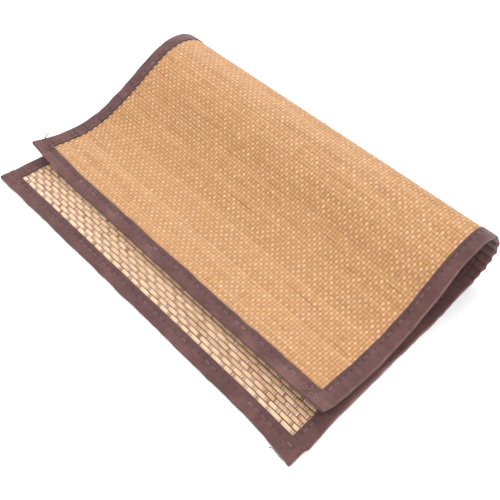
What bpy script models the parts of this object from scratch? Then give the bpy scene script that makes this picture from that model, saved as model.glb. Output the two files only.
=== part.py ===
"""A woven bamboo placemat, folded over once, with cotton tape sewn round its four edges.

X runs along the fold, from the left side to the right, Y from the free edges to the fold, and Z up.
Lengths are in millimetres until they reach a mesh. At the end the mat is moved to stand on the
origin, at the middle of its box's base.
"""

import math

import bmesh
import bpy
from mathutils import Vector

MM = 0.001

# The mat laid flat: along its slats, and across them from the lower free edge to the upper one.
WIDTH = 300.0
LENGTH = 400.0

PANEL_THICKNESS = 1.4
TAPE_THICKNESS = 0.5
GAP = 0.3
SIDE_FACE = 10.8
END_FACE = 11.3
PANEL_INSET = 1.4
LAP = 3.0
LAP_RAMP = 3.0

# The middle of the tape lies this far from the middle of the panel, on both faces.
TAPE_OFFSET = PANEL_THICKNESS / 2 + GAP + TAPE_THICKNESS / 2
LAP_OFFSET = TAPE_OFFSET + TAPE_THICKNESS + GAP
MIDDLE_HEIGHT = TAPE_OFFSET + TAPE_THICKNESS / 2

# How the mat lies, stretch by stretch from the lower free edge: each is an arc that ends at a slope,
# in degrees, which differs between the left side and the right.
FOLD = (
    # stretch, length, slope at its end on the left, and on the right
    ("flat on the surface", 150, 0, 0),
    ("starting to rise", 26, 1, 8),
    ("into the bend", 24, 55, 71),
    ("up the bend", 22, 120, 117),
    ("over the top", 24, 172, 183),
    ("down from the top", 24, 206, 211),
    ("steepest", 26, 213, 225),
    ("levelling out", 34, 204, 197),
    ("onto the lower layer", 38, 178, 178),
    ("upper free edge", 32, 184, 174),
)
FLAT_LENGTH = FOLD[0][1]

# The upper layer lies a little askew, and its left corner curls up.
SIDE_DRIFT = -6.5
CORNER_LIFT = 7.5
CORNER_WIDTH = 50.0
CORNER_LENGTH = 40.0

# Mesh spacing along the mat: (up to this length, at most this far apart)
SPACING = ((FLAT_LENGTH, 25.0), (FLAT_LENGTH + 26.0, 9.0), (300.0, 5.5), (LENGTH, 8.0))
PATH_STEP = 1.0
BEND_SEGMENTS = 6


def slope_at(v, column):
    """The slope at length v, in radians: column 2 is the left side and 3 the right."""
    start, before = 0.0, 0.0
    for row in FOLD:
        if v <= start + row[1]:
            return math.radians(before + (row[column] - before) * (v - start) / row[1])
        start += row[1]
        before = row[column]
    return math.radians(before)


def side_path(column):
    """(y, z) of the panel's middle at each step along one side."""
    y, z = 0.0, MIDDLE_HEIGHT
    path = [(y, z)]
    for step in range(round(LENGTH / PATH_STEP)):
        slope = slope_at((step + 0.5) * PATH_STEP, column)
        y += PATH_STEP * math.cos(slope)
        z += PATH_STEP * math.sin(slope)
        path.append((y, z))
    return path


LEFT_PATH = side_path(2)
RIGHT_PATH = side_path(3)


def along(path, v):
    """The point of a path at length v, which may lie a little past its ends."""
    i = min(max(int(v / PATH_STEP), 0), len(path) - 2)
    part = v / PATH_STEP - i
    return [a + (b - a) * part for a, b in zip(path[i], path[i + 1])]


def corner_curl(u, v):
    """How far the upper layer's left corner lifts."""
    across = max(0.0, 1 - u / CORNER_WIDTH)
    lengthwise = max(0.0, 1 - (LENGTH - v) / CORNER_LENGTH)
    return CORNER_LIFT * across**2 * lengthwise**2


def middle(u, v):
    """The panel's middle surface: u from the left side, v from the lower free edge."""
    share = u / WIDTH
    left, right = along(LEFT_PATH, v), along(RIGHT_PATH, v)
    y, z = (a + (b - a) * share for a, b in zip(left, right))
    past_flat = max(0.0, v - FLAT_LENGTH) / (LENGTH - FLAT_LENGTH)
    return Vector((u + SIDE_DRIFT * past_flat, y, z + corner_curl(u, v)))


def place(u, v, w):
    """A point w away from the middle surface, in metres. Above the lower layer w is positive."""
    across = middle(u + 1, v) - middle(u - 1, v)
    lengthwise = middle(u, v + 1) - middle(u, v - 1)
    return (middle(u, v) + w * across.cross(lengthwise).normalized()) * MM


def evenly(first, last, count):
    return [first + (last - first) * i / count for i in range(count + 1)]


def lengths():
    """Stations along the whole mat, close together where it bends."""
    found = [0.0]
    for limit, most in SPACING:
        found += evenly(found[-1], limit, math.ceil((limit - found[-1]) / most))[1:]
    return found


def shell(name, columns, rows, position, thickness, material):
    """A sheet of columns by rows, laid where position says and given its thickness."""
    mesh = bpy.data.meshes.new(name)
    sheet = bmesh.new()
    bmesh.ops.create_grid(sheet, x_segments=columns, y_segments=rows, size=0.5)
    for vertex in sheet.verts:
        column = round((vertex.co.x + 0.5) * columns)
        row = round((vertex.co.y + 0.5) * rows)
        vertex.co = position(column, row)
    sheet.to_mesh(mesh)
    sheet.free()
    mesh.materials.append(material)
    mesh.shade_smooth()
    mesh.set_sharp_from_angle(angle=math.radians(40))
    node = bpy.data.objects.new(name, mesh)
    solidify = node.modifiers.new("thickness", "SOLIDIFY")
    solidify.thickness = thickness * MM
    solidify.offset = 0
    solidify.use_even_offset = True
    MAT.objects.link(node)
    return node


def widths():
    """Stations from side to side, close together at the laps and in the corner that curls."""
    near = [0, SIDE_FACE / 2, SIDE_FACE + GAP, SIDE_FACE + GAP + LAP_RAMP]
    curled = evenly(near[-1], CORNER_WIDTH, 5)[1:]
    straight = evenly(CORNER_WIDTH, WIDTH - near[-1], 9)[1:-1]
    return near + curled + straight + [WIDTH - u for u in reversed(near)]


def section(face_width):
    """A tape's section round an edge: (distance in from the edge, side), with side from 1 on the
    upper face, through 0 at the edge, to -1 on the lower face."""
    edge = TAPE_THICKNESS / 2
    flange = [(face_width, 1.0), (face_width * 0.5, 1.0)]
    bend = []
    for i in range(BEND_SEGMENTS + 1):
        turn = math.pi * i / BEND_SEGMENTS
        bend.append((edge + TAPE_OFFSET * (1 - math.sin(turn)), math.cos(turn)))
    other = [(inwards, -side) for inwards, side in reversed(flange)]
    return flange + bend + other


def woven_panel(material):
    inset = PANEL_INSET
    across = [inset] + widths()[1:-1] + [WIDTH - inset]
    stations = [inset] + lengths()[1:-1] + [LENGTH - inset]

    def position(column, row):
        return place(across[column], stations[row], 0)

    columns, rows = len(across) - 1, len(stations) - 1
    return shell("bamboo_panel", columns, rows, position, PANEL_THICKNESS, material)


def side_binding(name, on_left, material):
    """Tape folded over one side. Each end stops at the end binding, except on the face that shows,
    where it runs on under the end binding."""
    profile = section(SIDE_FACE)
    beside = END_FACE + GAP
    between = [v for v in lengths() if beside + 1 < v < LENGTH - beside - 1]

    def stations(side):
        start = LAP if side == 1 else beside
        end = LENGTH - (LAP if side == -1 else beside)
        return evenly(start, between[0], 2)[:-1] + between + evenly(between[-1], end, 2)[1:]

    def position(column, row):
        inwards, side = profile[column]
        u = inwards if on_left else WIDTH - inwards
        return place(u, stations(side)[row], side * TAPE_OFFSET)

    return shell(name, len(profile) - 1, len(between) + 3, position, TAPE_THICKNESS, material)


def lap_height(u):
    """How far the end tape stands off the panel on the face that shows: more over the side tapes."""
    from_side = min(u, WIDTH - u)
    ramp = (from_side - SIDE_FACE - GAP) / LAP_RAMP
    ramp = min(max(ramp, 0.0), 1.0)
    return LAP_OFFSET + (TAPE_OFFSET - LAP_OFFSET) * ramp


def end_binding(name, at_lower, material):
    """Tape folded over a free edge, from side to side and over the ends of the side tapes."""
    profile = section(END_FACE)
    across = widths()
    shown = 1 if at_lower else -1

    def position(column, row):
        inwards, side = profile[column]
        u = across[row]
        v = inwards if at_lower else LENGTH - inwards
        height = lap_height(u) if side * shown > 0 else TAPE_OFFSET
        return place(u, v, side * height)

    return shell(name, len(profile) - 1, len(across) - 1, position, TAPE_THICKNESS, material)


def finish(name, colour, roughness):
    material = bpy.data.materials.new(name)
    material.use_nodes = True
    shader = material.node_tree.nodes["Principled BSDF"]
    shader.inputs["Base Color"].default_value = (*colour, 1)
    shader.inputs["Roughness"].default_value = roughness
    shader.inputs["Metallic"].default_value = 0
    return material


def stand_on_origin(nodes):
    """Moves the nodes together, so that the middle of their box's base is the origin."""
    graph = bpy.context.evaluated_depsgraph_get()
    corners = []
    for node in nodes:
        shape = node.evaluated_get(graph).to_mesh()
        corners += [vertex.co.copy() for vertex in shape.vertices]
        node.evaluated_get(graph).to_mesh_clear()
    low = Vector(min(corner[axis] for corner in corners) for axis in range(3))
    high = Vector(max(corner[axis] for corner in corners) for axis in range(3))
    for node in nodes:
        node.location = Vector((-(low.x + high.x) / 2, -(low.y + high.y) / 2, -low.z))


for leftover in list(bpy.data.objects):
    bpy.data.objects.remove(leftover, do_unlink=True)
MAT = bpy.data.collections.new("bamboo_mat")
bpy.context.scene.collection.children.link(MAT)

BAMBOO = finish("bamboo", (0.72, 0.40, 0.13), 0.5)
COTTON = finish("cotton_tape", (0.19, 0.10, 0.095), 0.9)

stand_on_origin(
    [
        woven_panel(BAMBOO),
        side_binding("binding_side_left", True, COTTON),
        side_binding("binding_side_right", False, COTTON),
        end_binding("binding_end_lower", True, COTTON),
        end_binding("binding_end_upper", False, COTTON),
    ]
)
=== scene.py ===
"""The folded bamboo placemat as it looks: woven slats and threads on both faces, sewn cotton tape
round the edges, floor, light and camera.

Flat coordinates on the mat are in millimetres: u from the left side, v from the lower free edge to
the upper one, and w away from the middle surface. Above the lower layer w is positive, so the
reverse face is at +w and the front face, which shows on the upper layer, at -w.
"""

import math

import bpy
import numpy as np
from mathutils import Matrix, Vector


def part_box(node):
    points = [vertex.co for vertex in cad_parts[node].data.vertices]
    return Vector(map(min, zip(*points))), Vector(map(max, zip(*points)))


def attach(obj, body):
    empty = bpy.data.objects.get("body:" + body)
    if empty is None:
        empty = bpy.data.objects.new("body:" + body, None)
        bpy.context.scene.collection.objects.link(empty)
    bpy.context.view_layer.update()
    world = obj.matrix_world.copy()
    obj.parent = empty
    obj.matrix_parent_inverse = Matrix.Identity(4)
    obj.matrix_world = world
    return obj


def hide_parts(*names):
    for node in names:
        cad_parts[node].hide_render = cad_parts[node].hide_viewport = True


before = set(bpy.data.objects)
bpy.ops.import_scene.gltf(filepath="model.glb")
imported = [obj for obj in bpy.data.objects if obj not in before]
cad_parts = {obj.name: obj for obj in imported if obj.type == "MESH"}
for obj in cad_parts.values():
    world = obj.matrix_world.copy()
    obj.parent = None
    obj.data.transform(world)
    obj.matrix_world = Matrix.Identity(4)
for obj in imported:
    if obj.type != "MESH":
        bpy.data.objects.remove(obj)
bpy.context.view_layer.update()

MM = 0.001

# The mat's shape, as in the CAD source.
WIDTH = 300.0
LENGTH = 400.0
SIDE_FACE = 10.8
END_FACE = 11.3
LAP = 3.0
LAP_RAMP = 3.0
MIDDLE_HEIGHT = 1.5
FOLD = (
    # length, slope at its end on the left, and on the right, in degrees
    (150, 0, 0),
    (26, 1, 8),
    (24, 55, 71),
    (22, 120, 117),
    (24, 172, 183),
    (24, 206, 211),
    (26, 213, 225),
    (34, 204, 197),
    (38, 178, 178),
    (32, 184, 174),
)
FLAT_LENGTH = FOLD[0][0]
SIDE_DRIFT = -6.5
CORNER_LIFT = 7.5
CORNER_WIDTH = 50.0
CORNER_LENGTH = 40.0
PATH_STEP = 1.0

# How the upper free edge rises and sags from side to side: (u, height), fading out along the mat.
EDGE_RISE = (
    (0, 0.6),
    (25, -0.4),
    (50, -2.0),
    (90, -2.2),
    (130, -2.1),
    (165, -1.0),
    (195, -1.9),
    (220, -1.3),
    (245, 0.1),
    (285, 0.8),
    (300, 2.4),
)
EDGE_REACH = 60.0

# The lower layer's corners stand out a little: how far in u and v, and how far that reaches.
LEFT_CORNER_PULL = (-2.1, -0.1)
RIGHT_CORNER_PULL = (0.5, -1.5)
CORNER_PULL_REACH = 60.0

# Weave, in millimetres.
PANEL_INSET = 1.6
FRONT_SLATS = 148
FRONT_COLUMNS = 121
REVERSE_SLATS = 121
REVERSE_COLUMNS = 59
# How far a tie on the reverse leans over one slat, on the left side and on the right.
LEAN = (-1.0, -0.45)

# The lower end tape's box begins where u, v and z are all 0, so it says where the mat stands.
SHIFT = np.array(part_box("binding_end_lower")[0])


def side_path(column):
    """(y, z) of the panel's middle at each step along one side."""
    ends = np.cumsum([0] + [row[0] for row in FOLD])
    slopes = np.radians([0] + [row[column] for row in FOLD])
    slope = np.interp((np.arange(LENGTH / PATH_STEP) + 0.5) * PATH_STEP, ends, slopes)
    y = np.concatenate([[0], np.cumsum(PATH_STEP * np.cos(slope))])
    z = np.concatenate([[0], np.cumsum(PATH_STEP * np.sin(slope))]) + MIDDLE_HEIGHT
    return np.stack([y, z], 1)


LEFT_PATH = side_path(1)
RIGHT_PATH = side_path(2)


def along(path, v):
    """The points of a path at lengths v, which may lie a little past its ends."""
    i = np.clip((v / PATH_STEP).astype(int), 0, len(path) - 2)
    part = (v / PATH_STEP - i)[..., None]
    return path[i] + (path[i + 1] - path[i]) * part


def middle(u, v):
    """The panel's middle surface, in millimetres."""
    share = (u / WIDTH)[..., None]
    yz = along(LEFT_PATH, v) * (1 - share) + along(RIGHT_PATH, v) * share
    past_flat = np.maximum(0, v - FLAT_LENGTH) / (LENGTH - FLAT_LENGTH)
    across = np.maximum(0, 1 - u / CORNER_WIDTH)
    lengthwise = np.maximum(0, 1 - (LENGTH - v) / CORNER_LENGTH)
    curl = CORNER_LIFT * across**2 * lengthwise**2
    near_edge = np.clip(1 - (LENGTH - v) / EDGE_REACH, 0, 1.05)
    curl = curl + near_edge**2 * np.interp(u, *np.transpose(EDGE_RISE))
    near_end = np.clip(1 - v / CORNER_PULL_REACH, 0, 1.1) ** 2
    x = u + SIDE_DRIFT * past_flat
    y = yz[..., 0]
    for from_side, pull in ((u, LEFT_CORNER_PULL), (WIDTH - u, RIGHT_CORNER_PULL)):
        near = near_end * np.clip(1 - from_side / CORNER_PULL_REACH, 0, 1.1) ** 2
        x = x + pull[0] * near
        y = y + pull[1] * near
    return np.stack([x, y, yz[..., 1] + curl], -1)


def place(u, v, w):
    """Points w away from the middle surface, in metres, in the CAD's frame."""
    u, v, w = (np.asarray(a, float) for a in np.broadcast_arrays(u, v, w))
    across = middle(u + 1, v) - middle(u - 1, v)
    lengthwise = middle(u, v + 1) - middle(u, v - 1)
    normal = np.cross(across, lengthwise)
    normal /= np.linalg.norm(normal, axis=-1, keepdims=True)
    return (middle(u, v) + w[..., None] * normal) * MM + SHIFT


def wander(at, pitch, seed):
    """Smooth random numbers from -1 to 1 along a line, one new number each pitch."""
    rng = np.random.default_rng(seed)
    at = np.asarray(at, float) / pitch
    knots = rng.uniform(-1, 1, int(at.max()) + 3)
    i = np.floor(at).astype(int)
    part = at - i
    part = part * part * (3 - 2 * part)
    return knots[i] + (knots[i + 1] - knots[i]) * part


class Mesh:
    """Grids of points gathered into one mesh, with flat coordinates and a tone at each point."""

    def __init__(self):
        self.points, self.faces, self.flat, self.tone = [], [], [], []
        self.count = 0

    def add(self, flat, tone, flip=False, loop=False):
        """flat is (grids, rows, columns, 3). With loop, the last column joins the first."""
        grids, rows, columns, _ = flat.shape
        index = self.count + np.arange(grids * rows * columns).reshape(grids, rows, columns)
        if loop:
            index = np.concatenate([index, index[:, :, :1]], 2)
        corners = [index[:, :-1, :-1], index[:, :-1, 1:], index[:, 1:, 1:], index[:, 1:, :-1]]
        quads = np.stack(corners[::-1] if flip else corners, -1).reshape(-1, 4)
        self.points.append(place(flat[..., 0], flat[..., 1], flat[..., 2]).reshape(-1, 3))
        self.faces.append(quads)
        self.flat.append(flat.reshape(-1, 3))
        self.tone.append(np.broadcast_to(tone, flat.shape[:3]).reshape(-1))
        self.count += grids * rows * columns

    def build(self, name, material, slot, *replaced):
        points = np.concatenate(self.points)
        faces = np.concatenate(self.faces)
        mesh = bpy.data.meshes.new(name)
        mesh.from_pydata(points, [], faces)
        flat = mesh.attributes.new("flat", "FLOAT_VECTOR", "POINT")
        flat.data.foreach_set("vector", (np.concatenate(self.flat) * MM).astype(np.float32).ravel())
        tone = mesh.attributes.new("tone", "FLOAT", "POINT")
        tone.data.foreach_set("value", np.concatenate(self.tone).astype(np.float32))
        mesh.materials.append(material)
        mesh.shade_smooth()
        piece = bpy.data.objects.new(name, mesh)
        bpy.context.scene.collection.objects.link(piece)
        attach(piece, "root")
        if replaced:
            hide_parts(*replaced)
        return piece


# Materials.

# The studio is lit this much over a white surface's own white, so that the floor stays pure white.
BRIGHT_LIGHT = 1.25


def material(name, roughness, sheen=0.0, specular=0.5):
    made = bpy.data.materials.new(name)
    made.use_nodes = True
    shader = made.node_tree.nodes["Principled BSDF"]
    shader.inputs["Roughness"].default_value = roughness
    shader.inputs["Specular IOR Level"].default_value = specular
    shader.inputs["Sheen Weight"].default_value = sheen
    shader.inputs["Sheen Roughness"].default_value = 0.5
    return made, made.node_tree, shader


def node(tree, kind, **values):
    made = tree.nodes.new(kind)
    for key, value in values.items():
        if hasattr(made, key):
            setattr(made, key, value)
        else:
            made.inputs[key.replace("_", " ")].default_value = value
    return made


def noise(tree, scale, stretch=(1, 1, 1), detail=3.0, roughness=0.55):
    """Noise on the mat's flat coordinates."""
    flat = node(tree, "ShaderNodeAttribute", attribute_name="flat")
    mapping = node(tree, "ShaderNodeMapping")
    mapping.inputs["Scale"].default_value = stretch
    tree.links.new(flat.outputs["Vector"], mapping.inputs["Vector"])
    made = node(tree, "ShaderNodeTexNoise", Scale=scale, Detail=detail, Roughness=roughness)
    tree.links.new(mapping.outputs["Vector"], made.inputs["Vector"])
    return made.outputs["Fac"]


def ramp(tree, value, *stops):
    made = node(tree, "ShaderNodeValToRGB")
    elements = made.color_ramp.elements
    while len(elements) < len(stops):
        elements.new(0.5)
    for element, (position, colour) in zip(elements, stops):
        element.position = position
        element.color = (*colour, 1)
    tree.links.new(value, made.inputs["Fac"])
    return made.outputs["Color"]


def mix(tree, how, factor, first, second):
    """Mixes two colours, by a number or by another node's value."""
    made = node(tree, "ShaderNodeMix", data_type="RGBA", blend_type=how)
    if isinstance(factor, float):
        made.inputs[0].default_value = factor
    else:
        tree.links.new(factor, made.inputs[0])
    for socket, value in ((made.inputs[6], first), (made.inputs[7], second)):
        if isinstance(value, tuple):
            socket.default_value = (*value, 1)
        else:
            tree.links.new(value, socket)
    return made.outputs[2]


def tone(tree):
    return node(tree, "ShaderNodeAttribute", attribute_name="tone").outputs["Fac"]


def bump(tree, shader, height, strength, distance):
    made = node(tree, "ShaderNodeBump", Strength=strength, Distance=distance)
    tree.links.new(height, made.inputs["Height"])
    tree.links.new(made.outputs["Normal"], shader.inputs["Normal"])


def srgb(red, green, blue):
    """A colour as it looks in the photograph, 0 to 255, as the shader's linear values."""
    return tuple(((c / 255 + 0.055) / 1.055) ** 2.4 / BRIGHT_LIGHT for c in (red, green, blue))


def bamboo(name, tones, grain_dark, roughness, patchy):
    """Split bamboo: a tone for each slat, fine grain along it, and slow patches."""
    made, tree, shader = material(name, roughness, specular=0.4)
    base = ramp(tree, tone(tree), *tones)
    patches = noise(tree, 45.0, stretch=(1, 1.4, 1))
    base = mix(tree, "SOFT_LIGHT", patchy, base, ramp(tree, patches, (0.3, (0.3,) * 3), (0.7, (0.7,) * 3)))
    grain = noise(tree, 1.0, stretch=(90, 2600, 300), detail=4.0, roughness=0.6)
    streaks = ramp(tree, grain, (0.35, grain_dark), (0.6, (1, 1, 1)))
    colour = mix(tree, "MULTIPLY", 0.45, base, streaks)
    tree.links.new(colour, shader.inputs["Base Color"])
    bump(tree, shader, grain, strength=0.35, distance=0.12 * MM)
    return made


def cloth(name, tones, mottled):
    """Cotton, as tape or thread: a tone from the mesh, slow patches, slubs and a fine weave."""
    made, tree, shader = material(name, 0.88, sheen=0.25, specular=0.2)
    base = ramp(tree, tone(tree), *tones)
    patches = noise(tree, 90.0, detail=4.0, roughness=0.6)
    base = mix(tree, "SOFT_LIGHT", mottled, base, ramp(tree, patches, (0.3, (0.25,) * 3), (0.7, (0.75,) * 3)))
    threads = noise(tree, 1.0, stretch=(1500, 1900, 1500), detail=2.0, roughness=0.5)
    slubs = noise(tree, 1.0, stretch=(420, 560, 420), roughness=0.6)
    base = mix(tree, "MULTIPLY", 0.6, base, ramp(tree, slubs, (0.3, (0.7,) * 3), (0.6, (1.0,) * 3)))
    colour = mix(tree, "MULTIPLY", 0.5, base, ramp(tree, threads, (0.3, (0.62,) * 3), (0.65, (1.0,) * 3)))
    tree.links.new(colour, shader.inputs["Base Color"])
    bump(tree, shader, threads, strength=0.5, distance=0.15 * MM)
    return made


FRONT_BAMBOO = bamboo(
    "front_bamboo",
    (
        (0.0, srgb(96, 54, 22)),
        (0.2, srgb(160, 105, 50)),
        (0.5, srgb(200, 148, 91)),
        (1.0, srgb(217, 171, 116)),
    ),
    (0.8, 0.7, 0.6),
    0.5,
    0.04,
)
REVERSE_BAMBOO = bamboo(
    "reverse_bamboo",
    (
        (0.0, srgb(84, 42, 16)),
        (0.18, srgb(140, 86, 44)),
        (0.5, srgb(214, 178, 143)),
        (1.0, srgb(238, 210, 181)),
    ),
    (0.84, 0.72, 0.6),
    0.55,
    0.12,
)
FRONT_THREAD = cloth(
    "front_thread_cotton",
    (
        (0.0, srgb(128, 82, 44)),
        (0.3, srgb(182, 132, 84)),
        (0.6, srgb(223, 184, 147)),
        (1.0, srgb(242, 212, 184)),
    ),
    0.3,
)
REVERSE_THREAD = cloth(
    "reverse_thread_cotton",
    (
        (0.0, srgb(96, 54, 30)),
        (0.3, srgb(170, 124, 90)),
        (0.7, srgb(224, 196, 172)),
        (1.0, srgb(244, 226, 210)),
    ),
    0.3,
)
# The core's dark colours are painted shade, standing in for the shade deep in the gaps.
CORE = bamboo(
    "core_gap_shade",
    ((0.0, srgb(52, 28, 14)), (0.4, srgb(86, 50, 26)), (1.0, srgb(160, 108, 62))),
    (0.6, 0.45, 0.3),
    0.7,
    0.15,
)
TAPE = cloth(
    "tape_cotton",
    (
        (0.0, srgb(38, 22, 24)),
        (0.35, srgb(90, 61, 61)),
        (0.6, srgb(108, 73, 70)),
        (1.0, srgb(172, 136, 128)),
    ),
    0.5,
)
SEWING = cloth(
    "sewing_thread",
    ((0.0, srgb(80, 55, 59)), (0.5, srgb(120, 91, 93)), (1.0, srgb(176, 144, 140))),
    0.3,
)


# The woven panel.

PLY = LENGTH - 2 * PANEL_INSET
ACROSS = WIDTH - 2 * PANEL_INSET
FRONT_PITCH = PLY / FRONT_SLATS
FRONT_STEP = ACROSS / (FRONT_COLUMNS - 1)
REVERSE_PITCH = PLY / REVERSE_SLATS
REVERSE_STEP = ACROSS / REVERSE_COLUMNS

# No thread is needed nearer to a side than this: the side tape covers it.
UNDER_TAPE = 8.0

RANDOM = np.random.default_rng(3456)
# Each slat's wandering has its own seed, counted up from here.
SEEDS = {
    "front centre": 900,
    "front width": 2900,
    "front height": 4900,
    "front tone": 6900,
    "front edge": 8900,
    "reverse centre": 10900,
    "reverse width": 12900,
    "reverse height": 14900,
    "reverse tone": 16900,
    "reverse lean": 18900,
}

CORE_COLUMNS = 41
CORE_ROWS = 151
CORE_HALF = 0.1
# Painted shade tones of the core: its reverse face, front face and rim.
CORE_SHADE_TONES = {"reverse": 0.15, "front": 0.25, "rim": 0.4}


def flat_grid(u, v, w):
    return np.stack(np.broadcast_arrays(u, v, w), -1)


def panel_core():
    """The thin layer where the two faces' slats meet, seen only in the gaps; its dark colour is painted
    shade.
    """
    u = np.linspace(PANEL_INSET, WIDTH - PANEL_INSET, CORE_COLUMNS)
    v = np.linspace(PANEL_INSET, LENGTH - PANEL_INSET, CORE_ROWS)
    made = Mesh()
    made.add(flat_grid(u[None, :], v[:, None], CORE_HALF)[None], CORE_SHADE_TONES["reverse"])
    made.add(flat_grid(u[None, :], v[:, None], -CORE_HALF)[None], CORE_SHADE_TONES["front"], flip=True)
    side, end = np.ones(CORE_ROWS - 2), np.ones(CORE_COLUMNS)
    rim_u = np.concatenate([u, side * u[-1], u[::-1], side * u[0]])
    rim_v = np.concatenate([end * v[0], v[1:-1], end * v[-1], v[-2:0:-1]])
    rim_w = np.array([[-CORE_HALF], [CORE_HALF]])
    made.add(flat_grid(rim_u[None, :], rim_v[None, :], rim_w)[None], CORE_SHADE_TONES["rim"], loop=True)
    return made.build("panel_core", CORE, "bamboo", "bamboo_panel")


# The front.

# Gaps that stand open between two slats: (v, from u, to u).
SPLITS = (
    (299.4, 22, 136),
    (361.0, 138, 159),
    (346.5, 226, 254),
    (312.0, 240, 249),
    (305.2, 214, 226),
    (304.7, 267, 285),
    (358.4, 266, 284),
    (364.0, 200, 210),
    (315.8, 151, 162),
    (265.5, 96, 109),
    (307.0, 12, 22),
    (305.5, 162, 171),
    (373.5, 240, 246),
    (328.6, 130, 148),
    (322.0, 140, 168),
    (258.0, 120, 150),
    (60.0, 40, 75),
    (88.0, 180, 230),
    (121.0, 90, 120),
    (170.0, 200, 240),
    (205.0, 60, 110),
)
SPLIT_OPEN = 0.2

# The low tones at a slat's edges, and the slight one in its middle groove, are painted shade between and
# along the slats.
FRONT_SLAT_SECTION = (
    # across, as a share of the slat's width, then height and tone
    (-0.5, 0.52, 0.36),
    (-0.33, 0.66, 1.0),
    (0.0, 0.62, 0.94),
    (0.33, 0.66, 1.0),
    (0.5, 0.52, 0.36),
)
# How far a slat drops under a thread and between two columns, and rises between two threads.
UNDER_THREAD = -0.12
BETWEEN_COLUMNS = -0.08
UNTIED = 0.04
FRONT_SLAT_TONE = 0.5
# Painted shade in the dip between two columns of threads.
BETWEEN_COLUMNS_SHADE = 0.7
# Painted shadow of the left tape's inner edge on the slats beside it.
TAPE_SHADOW_PAINTED = 0.7

# The pair of threads over one slat, with a groove between the two.
# In both tables the low tones at a thread's edges and in the groove between the pair are painted shade.
FRONT_THREAD_ALONG = (
    # along the slat, in half widths, then height and tone
    (-1.0, -0.2, 0.3),
    (-0.5, 0.02, 1.0),
    (0.0, -0.08, 0.72),
    (0.5, 0.02, 1.0),
    (1.0, -0.2, 0.3),
)
FRONT_THREAD_ACROSS = (
    # across the slat, as a share of the pitch, then height and tone
    (-0.5, 0.62, 0.6),
    (-0.27, 0.82, 1.0),
    (0.0, 0.76, 0.78),
    (0.27, 0.82, 1.0),
    (0.5, 0.62, 0.6),
)
FRONT_THREAD_HALF = 1.04
FRONT_THREAD_SKEW = 0.1
FRONT_THREAD_TONE = 0.69


def split_edges(u):
    """How far each slat's lower and upper edge draws back at the splits."""
    lower = np.zeros((FRONT_SLATS, len(u)))
    upper = np.zeros((FRONT_SLATS, len(u)))
    for v, first, last in SPLITS:
        gap = round((v - PANEL_INSET) / FRONT_PITCH)
        half = (last - first) / 2
        shape = np.clip(1 - ((u - first - half) / half) ** 2, 0, 1) ** 0.4
        lower[gap] += SPLIT_OPEN * shape
        upper[gap - 1] += SPLIT_OPEN * shape
    return lower, upper


def add_front_slat(mesh, i, u, centre, between, tied, lower, upper):
    """Slat i, from side to side. lower and upper are how far its edges draw back."""
    across, height, across_tone = np.transpose(FRONT_SLAT_SECTION)[:, :, None]
    width = FRONT_PITCH * (0.985 + 0.015 * wander(u, 13.0, SEEDS["front width"] + i))
    lift = np.where(between, BETWEEN_COLUMNS, np.where(tied, UNDER_THREAD, UNTIED))
    lift = lift + 0.02 * wander(u, 8.0, SEEDS["front height"] + i)
    v = centre + width * across
    v[:2] += lower
    v[-2:] -= upper
    shade = FRONT_SLAT_TONE + 0.05 * RANDOM.standard_normal()
    shade = shade + 0.05 * wander(u, 23.0, SEEDS["front tone"] + i)
    # Painted shadow from the left tape's raised inner edge, within a millimetre of it.
    tape_shadow = 1 - TAPE_SHADOW_PAINTED * np.clip(1 - np.abs(u - SIDE_FACE - 0.5), 0, 1)
    shade = shade * np.where(between, BETWEEN_COLUMNS_SHADE, 1.0) * tape_shadow
    # Painted shade at the slat's edges: its depth wanders along the slat and grows where a split stands open.
    edge = 1 + 0.12 * wander(u, 22.0, SEEDS["front edge"] + i)
    edge = edge * (1 - 0.1 * (lower + upper) / SPLIT_OPEN)
    shade = shade * across_tone * np.where(across_tone < 0.8, edge, 1.0)
    mesh.add(flat_grid(u, v, -(height + lift))[None], shade[None], flip=True)


def add_front_threads(mesh, at, centre):
    """The pairs of threads over one slat, at each of its tied crossings."""
    offset, ridge, offset_tone = np.transpose(FRONT_THREAD_ALONG)
    stretch, arch, stretch_tone = np.transpose(FRONT_THREAD_ACROSS)[:, :, None]
    each = (len(at), 1, 1)
    wide = FRONT_THREAD_HALF + 0.06 * RANDOM.standard_normal(each)
    skew = FRONT_THREAD_SKEW + 0.14 * RANDOM.standard_normal(each)
    u = at.reshape(each) + wide * offset + skew * stretch
    v = centre.reshape(each) + FRONT_PITCH * stretch
    w = -(arch + ridge + 0.03 * RANDOM.standard_normal(each))
    shade = np.clip(FRONT_THREAD_TONE + 0.07 * RANDOM.standard_normal(each), 0.3, 1)
    mesh.add(flat_grid(u, v, w), shade * offset_tone * stretch_tone, flip=True)


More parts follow.
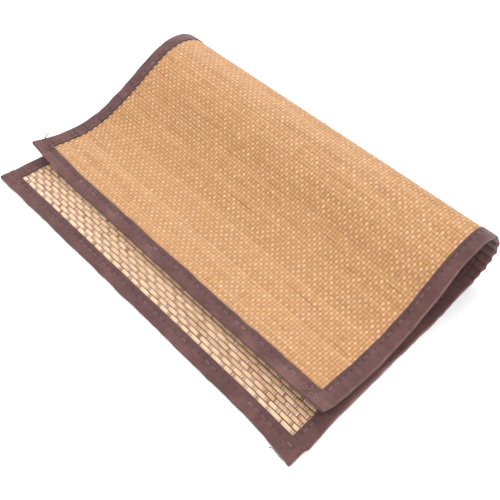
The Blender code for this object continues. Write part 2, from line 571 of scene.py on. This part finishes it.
def front_face():
    """The close-woven front: flat slats, with a pair of threads over every second crossing. Between
    two columns of threads the slats dip, in a fine line along the mat, with painted shade in the dip."""
    u = PANEL_INSET + 0.5 * FRONT_STEP * np.arange(2 * FRONT_COLUMNS - 1)
    column = np.arange(len(u)) // 2
    between = np.arange(len(u)) % 2 == 1
    lower, upper = split_edges(u)
    slats = Mesh(), Mesh()
    threads = Mesh(), Mesh()
    for i in range(FRONT_SLATS):
        centre = PANEL_INSET + (i + 0.5) * FRONT_PITCH
        centre = centre + 0.06 * wander(u, 21.0, SEEDS["front centre"] + i)
        tied = (i + column) % 2 == 0
        add_front_slat(slats[i % 2], i, u, centre, between, tied, lower[i], upper[i])
        at = u[tied & ~between]
        at = at[(at > UNDER_TAPE) & (at < WIDTH - UNDER_TAPE)]
        add_front_threads(threads[i % 2], at, np.interp(at, u, centre))
    return (
        slats[0].build("front_slats_even", FRONT_BAMBOO, "bamboo"),
        slats[1].build("front_slats_odd", FRONT_BAMBOO, "bamboo"),
        threads[0].build("front_threads_even", FRONT_THREAD, "bamboo"),
        threads[1].build("front_threads_odd", FRONT_THREAD, "bamboo"),
    )


# The reverse.

# The low tones at a slat's edges are painted shade in the gaps between rows.
REVERSE_SLAT_SECTION = (
    # across, as a share of the slat's width, then height between ties, height at a tie, and tone
    (-0.5, 0.15, 0.02, 0.1),
    (-0.45, 0.6, 0.3, 1.0),
    (0.0, 0.7, 0.42, 1.0),
    (0.45, 0.6, 0.3, 1.0),
    (0.5, 0.15, 0.02, 0.1),
)
REVERSE_SLAT_TONE = 0.56
# Painted shade under the upper layer's overhang: slats beside the lower end tape are lighter, those towards
# the upper layer darker: v, then what that adds to the tone.
REVERSE_OVERHANG_SHADE = ((12, 22, 36), (0.16, 0.0, -0.12))

HALF_TIE = 1.6
TIE_PITCH = 1.5
# The low tones at the threads' ends and sides are painted shade where they meet the bricks.
TIE_ALONG = (
    # along the slat, then height and tone
    (-0.56, -0.3, 0.1),
    (-0.3, 0.0, 1.0),
    (0.3, 0.0, 1.0),
    (0.56, -0.3, 0.1),
)
TIE_ACROSS = (
    # across the slat, as a share of the pitch, then height and tone
    (-0.5, 0.3, 0.2),
    (-0.36, 0.66, 1.0),
    (0.36, 0.66, 1.0),
    (0.5, 0.3, 0.2),
)
TIE_TONE = 0.7


def raised_between(ties, reach):
    """Stations along a slat, with a level for each: 1 where it stands up and 0 at a tie."""
    stations, level = [PANEL_INSET], [1.0]
    for tie, (left, right) in zip(ties, reach):
        stations += [tie - left - 0.1, tie - left + 0.14, tie + right - 0.14, tie + right + 0.1]
        level += [1.0, 0.0, 0.0, 1.0]
        stations.append(tie + REVERSE_STEP)
        level.append(1.0)
    stations, level = np.array(stations), np.array(level)
    inside = (stations > PANEL_INSET + 0.01) & (stations < WIDTH - PANEL_INSET - 0.01)
    inside[0] = True
    stations = np.append(stations[inside], WIDTH - PANEL_INSET)
    return stations, np.append(level[inside], 1.0)


def add_reverse_slat(mesh, j, u, level, centre, lean):
    """Slat j, from side to side."""
    across, high, low, across_tone = np.transpose(REVERSE_SLAT_SECTION)[:, :, None]
    width = 0.79 + 0.08 * level + 0.1 * (1 - u / WIDTH)
    width = REVERSE_PITCH * (width + 0.03 * wander(u, 7.0, SEEDS["reverse width"] + j))
    w = low + (high - low) * level + 0.03 * wander(u, 6.0, SEEDS["reverse height"] + j)
    flat = flat_grid(u + lean * across, centre + width * across, w)
    shade = REVERSE_SLAT_TONE + 0.05 * RANDOM.standard_normal()
    shade = shade + 0.09 * wander(u, 9.0, SEEDS["reverse tone"] + j)
    # Painted light falloff, lighter at the left side and darker at the right, and the painted overhang shade
    # across the rows.
    shade = shade + 0.2 * (0.45 - u / WIDTH) + np.interp(centre, *REVERSE_OVERHANG_SHADE)
    # Painted shade: a slat darkens where it dips under a tie, and at its edges.
    shade = np.clip(shade, 0.4, 1.0) * across_tone * (0.1 + 0.9 * level)
    mesh.add(flat[None], shade[None])


def add_ties(mesh, at, centre, lean):
    """Two threads side by side over one slat, at each of its ties."""
    offset, ridge, offset_tone = np.transpose(TIE_ALONG)
    stretch, arch, stretch_tone = np.transpose(TIE_ACROSS)[:, :, None]
    each = (len(at), 1, 1)
    for strand in (-0.5, 0.5):
        shift = strand * TIE_PITCH + 0.12 * RANDOM.standard_normal(each)
        u = at.reshape(each) + shift + offset + lean.reshape(each) * stretch
        v = centre.reshape(each) + REVERSE_PITCH * stretch
        w = arch + ridge + 0.04 * RANDOM.standard_normal(each)
        shade = np.clip(TIE_TONE + 0.13 * RANDOM.standard_normal(each), 0.2, 1)
        mesh.add(flat_grid(u, v, w), shade * offset_tone * stretch_tone)


def reverse_face():
    """The reverse: each slat shows long raised bricks between ties of two thick threads."""
    slats, threads = Mesh(), Mesh()
    for j in range(REVERSE_SLATS):
        ties = PANEL_INSET + np.arange(j % 2, REVERSE_COLUMNS + 1, 2) * REVERSE_STEP
        ties = ties + 0.22 * RANDOM.standard_normal(len(ties))
        reach = HALF_TIE + 0.12 * RANDOM.standard_normal((len(ties), 2))
        u, level = raised_between(ties, reach)
        centre = PANEL_INSET + (j + 0.5) * REVERSE_PITCH
        centre = centre + 0.12 * wander(u, 19.0, SEEDS["reverse centre"] + j)
        lean = np.interp(u, (0, WIDTH), LEAN)
        lean = lean * (1 + 0.3 * wander(u, REVERSE_STEP, SEEDS["reverse lean"] + j))
        add_reverse_slat(slats, j, u, level, centre, lean)
        at = ties[(ties > UNDER_TAPE) & (ties < WIDTH - UNDER_TAPE)]
        add_ties(threads, at, np.interp(at, u, centre), np.interp(at, u, lean))
    return (
        slats.build("reverse_slats", REVERSE_BAMBOO, "bamboo"),
        threads.build("reverse_threads", REVERSE_THREAD, "bamboo"),
    )


# The sewn tapes.

STITCH = 5.45
STITCH_TONE = 0.5
SIDE_SEWN_IN = 3.1
END_SEWN_IN = 4.1
# A side tape begins this far from the end of the mat, on the face where the end tape isn't over it.
BESIDE_END = END_FACE + 0.1
# No stitch begins nearer to a tape's end than this.
SIDE_UNSEWN = BESIDE_END + 1.0
END_UNSEWN = 2.0

ROWS_PER_STITCH = 5
GATHERED_ROWS_PER_STITCH = 8
OUTER = 1.4
INNER = 0.77
EDGE_RADIUS = 1.4
LAP_LIFT = 0.62
NEEDLE_DEPTH = 0.26

# The end tapes' own ends are rounded off, with rows close together, as shares of the radius.
CORNER_RADIUS = 1.2
CORNER_ROWS = (0.0, 0.06, 0.25, 0.6, 1.0)

# The lower end tape widens from here to its right end, and stands out over a short way at its left.
LOWER_SPREAD = 2.4
LOWER_SPREAD_FROM = 262.0
LOWER_SPREAD_REACH = 16.0
LOWER_END_OUT = 0.2
LOWER_END_REACH = 14.0
# The upper end tape stands out from here to its right end.
UPPER_END_OUT = 1.8
UPPER_END_FROM = 284.0
UPPER_END_REACH = 9.0

# The lining's tone is painted shade inside the folded tape.
LINING_SHADE = 0.12
# Painted highlight along the tape's rolled outer edge, brighter on the right tape.
RIM_HIGHLIGHT = 0.6
RIGHT_RIM_HIGHLIGHT = 0.8
# What the front's side of a tape adds to its tone, and painted light on the right tape inside the fold, for
# light bounced into the loop.
FRONT_SIDE_TONE = {"tape_end_upper": 0.07, "tape_side_left": 0.02}
INSIDE_FOLD_LIGHT = 0.1
INSIDE_FOLD_FROM = 170.0


def profile(face, sewn_in, rim_highlight):
    """A tape's closed section: (distance in from the edge, w, side, sewn, tone), once round."""
    sewn_at = face - sewn_in
    flange = [
        # The low tones at the inner edge are a painted shadow line where the tape meets the weave.
        (face - 0.12, 0.74, 0.0, 0.15),
        (face, 1.0, 0.0, 0.2),
        (face - 0.2, 1.3, 0.1, 0.34),
        (face - 0.9, 1.36, 0.3, 0.43),
        (sewn_at + 0.65, 1.26, 0.8, 0.43),
        (sewn_at, 1.14, 1.0, 0.4),
        (sewn_at - 0.65, 1.26, 0.8, 0.47),
        (sewn_at - 1.6, 1.36, 0.3, 0.52),
        ((sewn_at + EDGE_RADIUS) * 0.5, OUTER, 0.0, 0.52),
        (EDGE_RADIUS + 0.9, OUTER - 0.02, 0.0, 0.52),
        (EDGE_RADIUS * 0.75, OUTER - 0.06, 0.0, 0.53),
        # Painted highlight on the rolled edge.
        (EDGE_RADIUS * 0.45, OUTER - 0.17, 0.0, rim_highlight),
    ]
    roll = []
    for turn in (0.28, 0.5, 0.72):
        angle = math.pi * turn
        roll.append((EDGE_RADIUS * (1 - math.sin(angle) ** 0.7), OUTER * math.cos(angle), 0.0, 0.5))
    lining = [(face - 0.3, INNER), (EDGE_RADIUS + 0.9, INNER)]
    loop = [(a, w, 1.0, sewn, shade) for a, w, sewn, shade in flange]
    loop += [(a, w, w / OUTER, sewn, shade) for a, w, sewn, shade in roll]
    loop += [(a, -w, -1.0, sewn, shade) for a, w, sewn, shade in reversed(flange)]
    # The lining is painted dark, as shade inside the fold.
    loop += [(a, -w, -1.0, 0.0, LINING_SHADE) for a, w in lining]
    loop += [(0.7, 0.0, 0.0, 0.0, LINING_SHADE)]
    loop += [(a, w, 1.0, 0.0, LINING_SHADE) for a, w in reversed(lining)]
    return np.array(loop)


def tape_rows(length, side, closed):
    """How far along the tape each row lies, for each point of the section. A side tape begins and
    stops at different places on its two faces."""
    rows = int(length / STITCH * (ROWS_PER_STITCH if closed else GATHERED_ROWS_PER_STITCH))
    if closed:
        near = np.array(CORNER_ROWS) * CORNER_RADIUS
        body = np.linspace(CORNER_RADIUS, length - CORNER_RADIUS, rows - 1)
        line = np.concatenate([near[:-1], body, length - near[-2::-1]])
        return line[:, None] + 0 * side
    share = np.linspace(0, 1, rows + 1)[:, None]
    start = np.where(side == 1, LAP, BESIDE_END)
    end = length - np.where(side == -1, LAP, BESIDE_END)
    return start * (1 - share) + end * share


def tape(name, face, sewn_in, length, to_flat, lift, gathers, closed, seed, flip):
    """One tape sewn over an edge: s is how far along it a point lies, and a how far in from the
    edge. to_flat turns them into (u, v), and closed rounds off its ends."""
    loop = profile(face, sewn_in, RIGHT_RIM_HIGHLIGHT if name == "tape_side_right" else RIM_HIGHLIGHT)
    inwards, height, side, sewn, shade = loop.T
    s = tape_rows(length, side, closed)
    outside = shade > LINING_SHADE + 0.01
    hole = np.clip(np.cos(2 * math.pi * s / STITCH), 0, 1) ** 2
    inner_edge = np.clip((inwards - face + 2.0) / 2.0, 0, 1)
    outer_edge = np.clip(1 - inwards / 4.0, 0, 1)

    a = inwards + inner_edge * (0.25 * wander(s, 9.0, seed + 2) + 0.14 * hole)
    a = a + outer_edge * (0.3 * wander(s, 12.0, seed + 4) + 0.16 * wander(s, 4.4, seed + 5))
    w = height + side * lift(s, side)
    w = w - side * sewn * NEEDLE_DEPTH * hole
    ripple = 0.09 * wander(s + 0.6 * inwards, 5.3, seed) + 0.05 * wander(s - inwards, 2.9, seed + 1)
    w = w + side * np.where(outside, ripple, 0.0) * (1 - 0.6 * inner_edge)

    raised_above, raised_below, out, dark = gathers(s)
    loose = np.clip(1 - inwards / (face - sewn_in), 0, 1) ** 0.7
    w = w + np.where(outside & (side > 0.3), loose, 0.0) * raised_above
    w = w - np.where(outside & (side < -0.3), 1 - inner_edge, 0.0) * raised_below
    a = a - out * np.clip(1 - inwards / 6.0, 0, 1)

    # Painted shade in the needle dimples along the sewn line and in the creases, over a slow random drift in
    # tone.
    shade = shade + 0.07 * wander(s + inwards, 14.0, seed + 3) - 0.2 * sewn**2 * hole - dark
    shade = shade + np.where(outside & (side < 0), FRONT_SIDE_TONE.get(name, 0.0), 0.0)
    if name == "tape_side_right":
        # Painted light on the inside of the fold, for light bounced into the loop.
        fold_light = np.clip((s - INSIDE_FOLD_FROM) / 15, 0, 1)
        shade = shade + np.where(outside & (side > 0), INSIDE_FOLD_LIGHT, 0.0) * fold_light
    if closed:
        near = np.clip(1 - np.minimum(s, length - s) / CORNER_RADIUS, 0, 1)
        rounded = np.sqrt(1 - near**2)
        w = w * rounded
        a = a + CORNER_RADIUS * (1 - rounded) * np.clip(1 - inwards / 5.0, 0, 1)

    u, v = to_flat(s, a)
    w = np.where(v < FLAT_LENGTH, np.maximum(w, -MIDDLE_HEIGHT + 0.02), w)
    mesh = Mesh()
    mesh.add(flat_grid(u, v, w)[None], shade[None], flip=flip, loop=True)
    return mesh.build(name, TAPE, "cotton_tape", name.replace("tape", "binding"))


STITCH_SHAPE = (
    # along, as a share of the stitch's length, then half its thickness and its height
    (0.1, 0.03, 0.98),
    (0.2, 0.19, 1.12),
    (0.5, 0.24, 1.16),
    (0.8, 0.19, 1.12),
    (0.9, 0.03, 0.98),
)


def add_stitches(mesh, sewn_at, length, unsewn, to_flat, lift, side, seed):
    """A line of machine stitches along one face of a tape."""
    rng = np.random.default_rng(seed)
    reach, thick, top = np.transpose(STITCH_SHAPE)[:, :, None]
    first = math.ceil(unsewn / STITCH)
    last = int((length - unsewn) / STITCH - reach[-1, 0]) + 1
    starts = STITCH * np.arange(first, last)[:, None, None]
    angle = np.linspace(0, math.pi, 5)
    s = starts + STITCH * reach + 0 * angle
    a = sewn_at + 0.12 * rng.standard_normal(starts.shape) + thick * np.cos(angle)
    u, v = to_flat(s, a)
    w = side * (lift(s, side) + top + thick * np.sin(angle))
    mesh.add(flat_grid(u, v, w), np.clip(STITCH_TONE + 0.2 * rng.standard_normal(starts.shape), 0, 1))


def lap_lift(from_side):
    """How far the end tape stands up over the side tapes."""
    ramp = np.clip((from_side - SIDE_FACE - 0.2) / LAP_RAMP, 0, 1)
    return LAP_LIFT * (1 - ramp * ramp * (3 - 2 * ramp))


def no_lift(s, side):
    return 0 * s


def no_gathers(s):
    return 0 * s, 0 * s, 0 * s, 0 * s


# How the right tape is gathered: (v, how far its edge stands out, how far its face stands up). Its
# edge stands out beside the end tapes. In the fold it swells to each ridge, then drops.
RIGHT_GATHERS = (
    (9.5, 0.0, 0.0),
    (12.5, 1.4, 0.0),
    (20, 0.9, 0.0),
    (36, 0.0, 0.0),
    (158, 0.0, 0.0),
    (176, 0.2, 0.3),
    (180.5, 0.7, 1.0),
    (182.2, 0.2, 0.1),
    (186.9, 1.2, 1.4),
    (189.0, 0.6, 0.1),
    (193.3, 2.2, 1.9),
    (195.4, 1.1, 0.1),
    (200.2, 2.7, 2.1),
    (202.4, 1.3, 0.1),
    (208.2, 3.2, 2.2),
    (210.6, 1.8, 0.1),
    (217.3, 2.1, 1.8),
    (219.8, 0.9, 0.1),
    (226.0, 1.0, 1.2),
    (228.4, 0.4, 0.1),
    (236.0, 0.3, 0.6),
    (246.0, 0.0, 0.0),
    (272.0, 0.3, 0.0),
    (290.0, 1.3, 0.0),
    (305.0, 0.8, 0.0),
    (318.0, 1.4, 0.0),
    (333.0, 1.2, 0.0),
    (350.0, 2.0, 0.0),
    (366.0, 1.9, 0.0),
    (380.0, 2.3, 0.0),
    (389.0, 1.9, 0.0),
)
# The creases between the ridges get painted shade, over this stretch of the fold.
CREASED = (172.0, 240.0)
CREASE_FADE = 8.0
CREASE_SHADE = 0.3


def right_gathers(s):
    """How far the face rises above and below, how far the edge stands out, and the painted crease shade."""
    at, out, up = np.transpose(RIGHT_GATHERS)
    out = np.interp(s, at, out)
    up = np.interp(s, at, up)
    first, last = CREASED
    inside = np.clip((s - first) / CREASE_FADE, 0, 1) * np.clip((last - s) / CREASE_FADE, 0, 1)
    return up, 0 * s, out, CREASE_SHADE * inside * np.clip(1 - up / 0.8, 0, 1)


# Where the left tape is kinked on the upper layer, and how hard.
LEFT_KINKS = ((366.0, 1.0), (356.5, 0.8), (343.0, 0.45), (331.0, 0.3), (319.0, 1.0), (304.0, 0.5))
# Painted shade in each kink's dip.
KINK_SHADE = 0.4


def left_gathers(s):
    below, out, dark = 0 * s, 0 * s, 0 * s
    for at, depth in LEFT_KINKS:
        dip = depth * np.exp(-(((s - at) / 0.8) ** 2))
        swell = depth * np.exp(-(((s - at - 2.2) / 1.7) ** 2))
        below = below + 0.4 * swell - 0.5 * dip
        out = out + 0.5 * swell - 0.25 * dip
        dark = dark + KINK_SHADE * dip
    return 0 * s, below, out, dark


def along_left(s, a):
    return a, s


def along_right(s, a):
    return WIDTH - a, s


def along_lower_end(s, a):
    widening = np.clip((s - LOWER_SPREAD_FROM) / (WIDTH - LOWER_SPREAD_FROM), 0, 1) ** 1.5
    spread = LOWER_SPREAD * widening * np.clip(1 - a / LOWER_SPREAD_REACH, 0, 1)
    return s - LOWER_END_OUT * np.clip(1 - s / LOWER_END_REACH, 0, 1), a - spread


def along_upper_end(s, a):
    near_end = np.clip((s - UPPER_END_FROM) / (WIDTH - UPPER_END_FROM), 0, 1)
    return s + UPPER_END_OUT * near_end * np.clip(a / UPPER_END_REACH, 0, 1), LENGTH - a


def side_tape(stitches, name, to_flat, gathers, seed, flip):
    for side in (1, -1):
        sewn_at = SIDE_FACE - SIDE_SEWN_IN
        add_stitches(stitches, sewn_at, LENGTH, SIDE_UNSEWN, to_flat, no_lift, side, seed + side)
    return tape(name, SIDE_FACE, SIDE_SEWN_IN, LENGTH, to_flat, no_lift, gathers, False, seed, flip)


def end_tape(stitches, name, to_flat, shown, seed, flip):
    """shown is the side where this tape is over the ends of the side tapes."""

    def lift(s, side):
        return np.where(side * shown > 0, lap_lift(np.minimum(s, WIDTH - s)), 0.0)

    for side in (1, -1):
        sewn_at = END_FACE - END_SEWN_IN
        add_stitches(stitches, sewn_at, WIDTH, END_UNSEWN, to_flat, lift, side, seed + side)
    return tape(name, END_FACE, END_SEWN_IN, WIDTH, to_flat, lift, no_gathers, True, seed, flip)


def sewn_tapes():
    """Four tapes, and the stitches on both faces of each."""
    stitches = Mesh()
    return [
        side_tape(stitches, "tape_side_left", along_left, left_gathers, 501, True),
        side_tape(stitches, "tape_side_right", along_right, right_gathers, 601, False),
        end_tape(stitches, "tape_end_lower", along_lower_end, 1, 701, False),
        end_tape(stitches, "tape_end_upper", along_upper_end, -1, 801, True),
        stitches.build("stitches", SEWING, "cotton_tape"),
    ]


# Loose ends of thread: radius, tone, and the (u, v, w) that each passes through. The last two are
# frayed bundles that stand out past an edge.
FRAYS = (
    (0.19, 0.5, ((6.4, 385.2, -1.6), (7.2, 388.0, -1.9), (8.4, 391.0, -2.3), (8.9, 393.6, -2.1))),
    (0.19, 0.5, ((7.0, 394.6, -2.1), (9.0, 393.6, -2.4), (10.6, 393.9, -2.3), (12.4, 392.4, -2.1))),
    (0.19, 0.5, ((11.6, 395.6, -2.1), (12.8, 393.4, -2.3), (12.3, 391.2, -2.1))),
    (0.19, 0.5, ((9.6, 389.4, -2.1), (11.4, 390.6, -2.4), (13.2, 390.2, -2.1))),
    (0.19, 0.5, ((5.2, 391.4, -2.1), (6.6, 392.6, -2.3), (7.0, 394.8, -2.1))),
    (0.46, 0.2, ((1.6, 390.2, -1.4), (1.0, 389.6, -3.2), (1.0, 388.6, -5.0), (1.6, 387.4, -6.8))),
    (
        0.2,
        0.4,
        (
            (295.0, -2.0, -1.1),
            (291.4, -1.7, -1.1),
            (286.0, -1.2, -1.2),
            (284.8, -1.9, -1.2),
            (283.6, -2.7, -1.2),
        ),
    ),
)
THREAD_SIDES = 6
STEPS_PER_POINT = 4

# Crossing stitches where the upper end tape was sewn down at its right end.
PATCH_FROM = (280.5, 391.0)
PATCH_SIZE = (11.0, 5.5)
PATCH_HEIGHT = 2.02
PATCH_STITCHES = 22
PATCH_RADIUS = 0.13
PATCH_TONE = 0.6


def patch_lines(rng):
    """The crossing stitches, in the form of FRAYS."""
    lines = []
    for _ in range(PATCH_STITCHES):
        start = np.array(PATCH_FROM) + np.array(PATCH_SIZE) * rng.random(2)
        angle = rng.normal(0.3, 0.8)
        reach = rng.uniform(0.8, 2.2) * np.array([math.cos(angle), math.sin(angle)])
        w = -PATCH_HEIGHT - 0.1 * rng.random()
        points = [(*start, w), (*(start + reach / 2), w - 0.12), (*(start + reach), w)]
        lines.append((PATCH_RADIUS, PATCH_TONE, points))
    return lines


def loose_threads():
    """Frayed ends at the corners, and the patch of crossing stitches on the upper end tape."""
    rng = np.random.default_rng(91)
    made = Mesh()
    around = np.linspace(0, 2 * math.pi, THREAD_SIDES, endpoint=False)
    for thick, shade, line in [*FRAYS, *patch_lines(rng)]:
        line = np.array(line)
        steps = np.linspace(0, len(line) - 1, STEPS_PER_POINT * len(line))
        u, v, w = (np.interp(steps, np.arange(len(line)), line[:, axis])[:, None] for axis in range(3))
        ahead_u, ahead_v = np.gradient(u, axis=0), np.gradient(v, axis=0)
        reach = np.hypot(ahead_u, ahead_v)
        radius = thick * np.where((steps == 0) | (steps == steps[-1]), 0.3, 1.0)[:, None]
        ring_u = u - radius * ahead_v / reach * np.cos(around)
        ring_v = v + radius * ahead_u / reach * np.cos(around)
        ring_w = w + radius * np.sin(around)
        made.add(flat_grid(ring_u, ring_v, ring_w)[None], shade + 0.25 * rng.random(), loop=True)
    return made.build("loose_threads", SEWING, "cotton_tape")


core = panel_core()
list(front_face())
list(reverse_face())
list(sewn_tapes())
loose_threads()


# Floor, light and camera.

FLOOR_REACH = 4.0
FLOOR_DROP = 0.0002
FLOOR_WHITE = 0.99
WORLD_STRENGTH = 0.82
LIGHTS = (
    # name, place, size and power: square lights that all face the mat
    ("soft_key", (-0.6, 0.7, 1.1), 0.9, 18.0),
    ("soft_above", (0.1, -0.6, 1.2), 1.2, 10.0),
    ("soft_fill", (0.95, -0.4, 0.5), 0.9, 4.0),
)


def paper_floor():
    mesh = bpy.data.meshes.new("studio_floor")
    corners = [(x * FLOOR_REACH, y * FLOOR_REACH, 0) for x, y in ((-1, -1), (1, -1), (1, 1), (-1, 1))]
    mesh.from_pydata(corners, [], [(0, 1, 2, 3)])
    made, tree, shader = material("studio_paper", 0.9, specular=0.1)
    shader.inputs["Base Color"].default_value = (FLOOR_WHITE, FLOOR_WHITE, FLOOR_WHITE, 1)
    mesh.materials.append(made)
    floor = bpy.data.objects.new("studio_floor", mesh)
    bpy.context.scene.collection.objects.link(floor)
    floor.location.z = -FLOOR_DROP


def studio_light():
    world = bpy.data.worlds.new("studio_world")
    world.use_nodes = True
    background = world.node_tree.nodes["Background"]
    background.inputs["Color"].default_value = (1, 1, 1, 1)
    background.inputs["Strength"].default_value = WORLD_STRENGTH
    bpy.context.scene.world = world
    for name, stands_at, size, power in LIGHTS:
        light = bpy.data.lights.new(name, "AREA")
        light.shape = "SQUARE"
        light.size = size
        light.energy = power
        lamp = bpy.data.objects.new(name, light)
        lamp.location = stands_at
        lamp.rotation_mode = "QUATERNION"
        lamp.rotation_quaternion = (-lamp.location).to_track_quat("-Z", "Y")
        bpy.context.scene.collection.objects.link(lamp)


def camera():
    """The photograph's camera, fitted on the mat's outlines."""
    data = bpy.data.cameras.new("camera")
    data.lens = 48.39
    data.sensor_width = 36.0
    data.clip_start = 0.01
    data.clip_end = 20.0
    seen = bpy.data.objects.new("camera", data)
    right = (0.70107, 0.71163, 0.04564)
    up = (-0.57435, 0.52557, 0.62762)
    back = (0.42265, -0.46622, 0.77718)
    stands_at = (0.22764, -0.23123, 0.36839)
    turned = Matrix((right, up, back)).transposed().to_4x4()
    seen.matrix_world = Matrix.Translation(stands_at) @ turned
    bpy.context.scene.collection.objects.link(seen)
    bpy.context.scene.camera = seen


paper_floor()
studio_light()
camera()
scene = bpy.context.scene
scene.view_settings.view_transform = "Standard"
scene.view_settings.look = "None"
